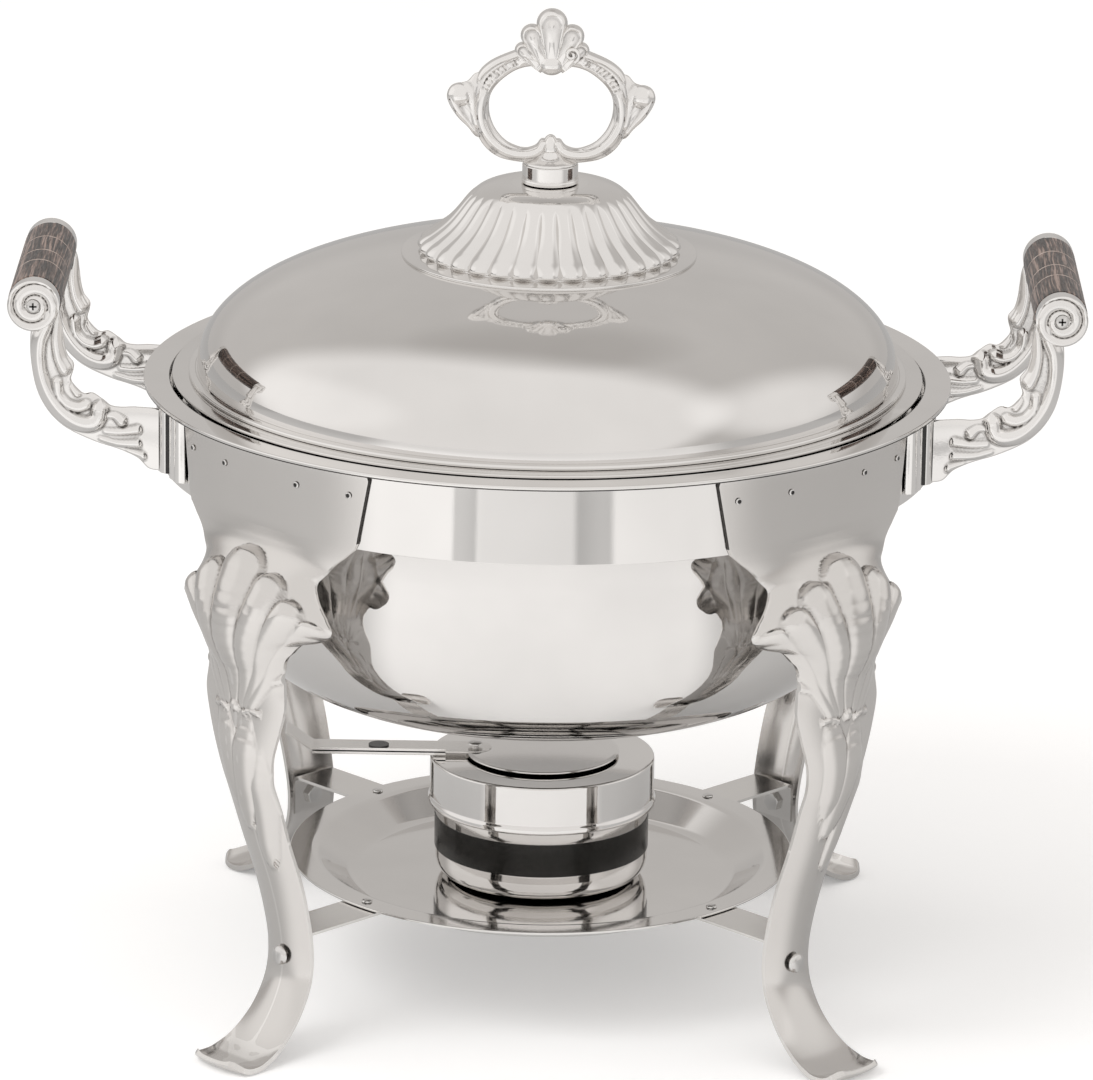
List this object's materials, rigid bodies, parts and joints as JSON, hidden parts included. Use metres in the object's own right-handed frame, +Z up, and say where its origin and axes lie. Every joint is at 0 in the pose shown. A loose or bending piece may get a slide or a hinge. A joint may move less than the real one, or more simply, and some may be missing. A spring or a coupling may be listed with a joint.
{
  "type": "round chafer",
  "caption": "Round chafer: food pan in a water pan in a ring frame on cabriole legs, with a lift-off domed lid, wooden-grip side handles and a fuel holder with a swing-aside snuffer on a tray.",
  "frame": {"origin": "on the table, under the centre of the pans", "axes": "+Z up, +X towards the right-hand handle, -Y towards the front"},
  "size_m": [0.428, 0.3254, 0.4045],
  "materials": {
    "polished_steel": "mirror polished stainless sheet",
    "satin_steel": "satin stainless pressings",
    "cast_metal": "bright cast ornament with darkened recesses",
    "dark_wood": "dark striped wood, lightly oiled",
    "fastener_steel": "plain stainless fasteners"
  },
  "bodies": {
    "frame": {"frame_band": "polished_steel", "leg_front_left": "satin_steel", "leg_front_right": "satin_steel", "leg_back_right": "satin_steel", "leg_back_left": "satin_steel", "panel_rivet_front_left_1": "fastener_steel", "panel_rivet_front_left_2": "fastener_steel", "panel_rivet_front_left_3": "fastener_steel", "panel_rivet_front_left_4": "fastener_steel", "panel_rivet_front_right_1": "fastener_steel", "panel_rivet_front_right_2": "fastener_steel", "panel_rivet_front_right_3": "fastener_steel", "panel_rivet_front_right_4": "fastener_steel", "panel_rivet_back_right_1": "fastener_steel", "panel_rivet_back_right_2": "fastener_steel", "panel_rivet_back_right_3": "fastener_steel", "panel_rivet_back_right_4": "fastener_steel", "panel_rivet_back_left_1": "fastener_steel", "panel_rivet_back_left_2": "fastener_steel", "panel_rivet_back_left_3": "fastener_steel", "panel_rivet_back_left_4": "fastener_steel", "fuel_tray": "polished_steel", "tray_strap_front_left": "satin_steel", "tray_strap_front_right": "satin_steel", "tray_strap_back_right": "satin_steel", "tray_strap_back_left": "satin_steel", "tray_rivet_front_left": "fastener_steel", "tray_rivet_front_right": "fastener_steel", "tray_rivet_back_right": "fastener_steel", "tray_rivet_back_left": "fastener_steel", "leg_screw_front_left": "fastener_steel", "leg_screw_front_right": "fastener_steel", "leg_screw_back_right": "fastener_steel", "leg_screw_back_left": "fastener_steel", "handle_bracket_left_front": "cast_metal", "handle_bracket_left_back": "cast_metal", "handle_bracket_right_front": "cast_metal", "handle_bracket_right_back": "cast_metal", "handle_grip_left": "dark_wood", "handle_grip_right": "dark_wood", "handle_rod_left": "fastener_steel", "handle_rod_right": "fastener_steel", "handle_screw_left_front": "fastener_steel", "handle_screw_left_back": "fastener_steel", "handle_screw_right_front": "fastener_steel", "handle_screw_right_back": "fastener_steel"},
    "water_pan": {"water_pan": "polished_steel"},
    "food_pan": {"food_pan": "polished_steel"},
    "lid": {"lid_dome": "polished_steel", "lid_crown": "polished_steel", "lid_collar": "polished_steel", "lid_handle": "cast_metal", "lid_washer": "satin_steel", "lid_nut": "fastener_steel"},
    "fuel_holder": {"fuel_cup": "polished_steel", "fuel_holder_cover": "polished_steel", "snuffer_rivet": "fastener_steel"},
    "snuffer": {"snuffer_disc": "polished_steel", "snuffer_arm": "satin_steel"}
  },
  "joints": [
    {"name": "water_pan_lift", "type": "slide", "parent": "frame", "child": "water_pan", "axis": [0, 0, 1], "range_m": [0, 0.14]},
    {"name": "food_pan_lift", "type": "slide", "parent": "water_pan", "child": "food_pan", "axis": [0, 0, 1], "range_m": [0, 0.08]},
    {"name": "lid_lift", "type": "slide", "parent": "food_pan", "child": "lid", "axis": [0, 0, 1], "range_m": [0, 0.12]},
    {"name": "fuel_holder_draw", "type": "slide", "parent": "frame", "child": "fuel_holder", "axis": [-0.9787, 0, 0.2055], "range_m": [0, 0.16]},
    {"name": "snuffer_swing", "type": "hinge", "parent": "fuel_holder", "child": "snuffer", "pos_m": [-0.0275, 0, 0.0939], "axis": [0, 0, 1], "range_deg": [0, 110]}
  ]
}
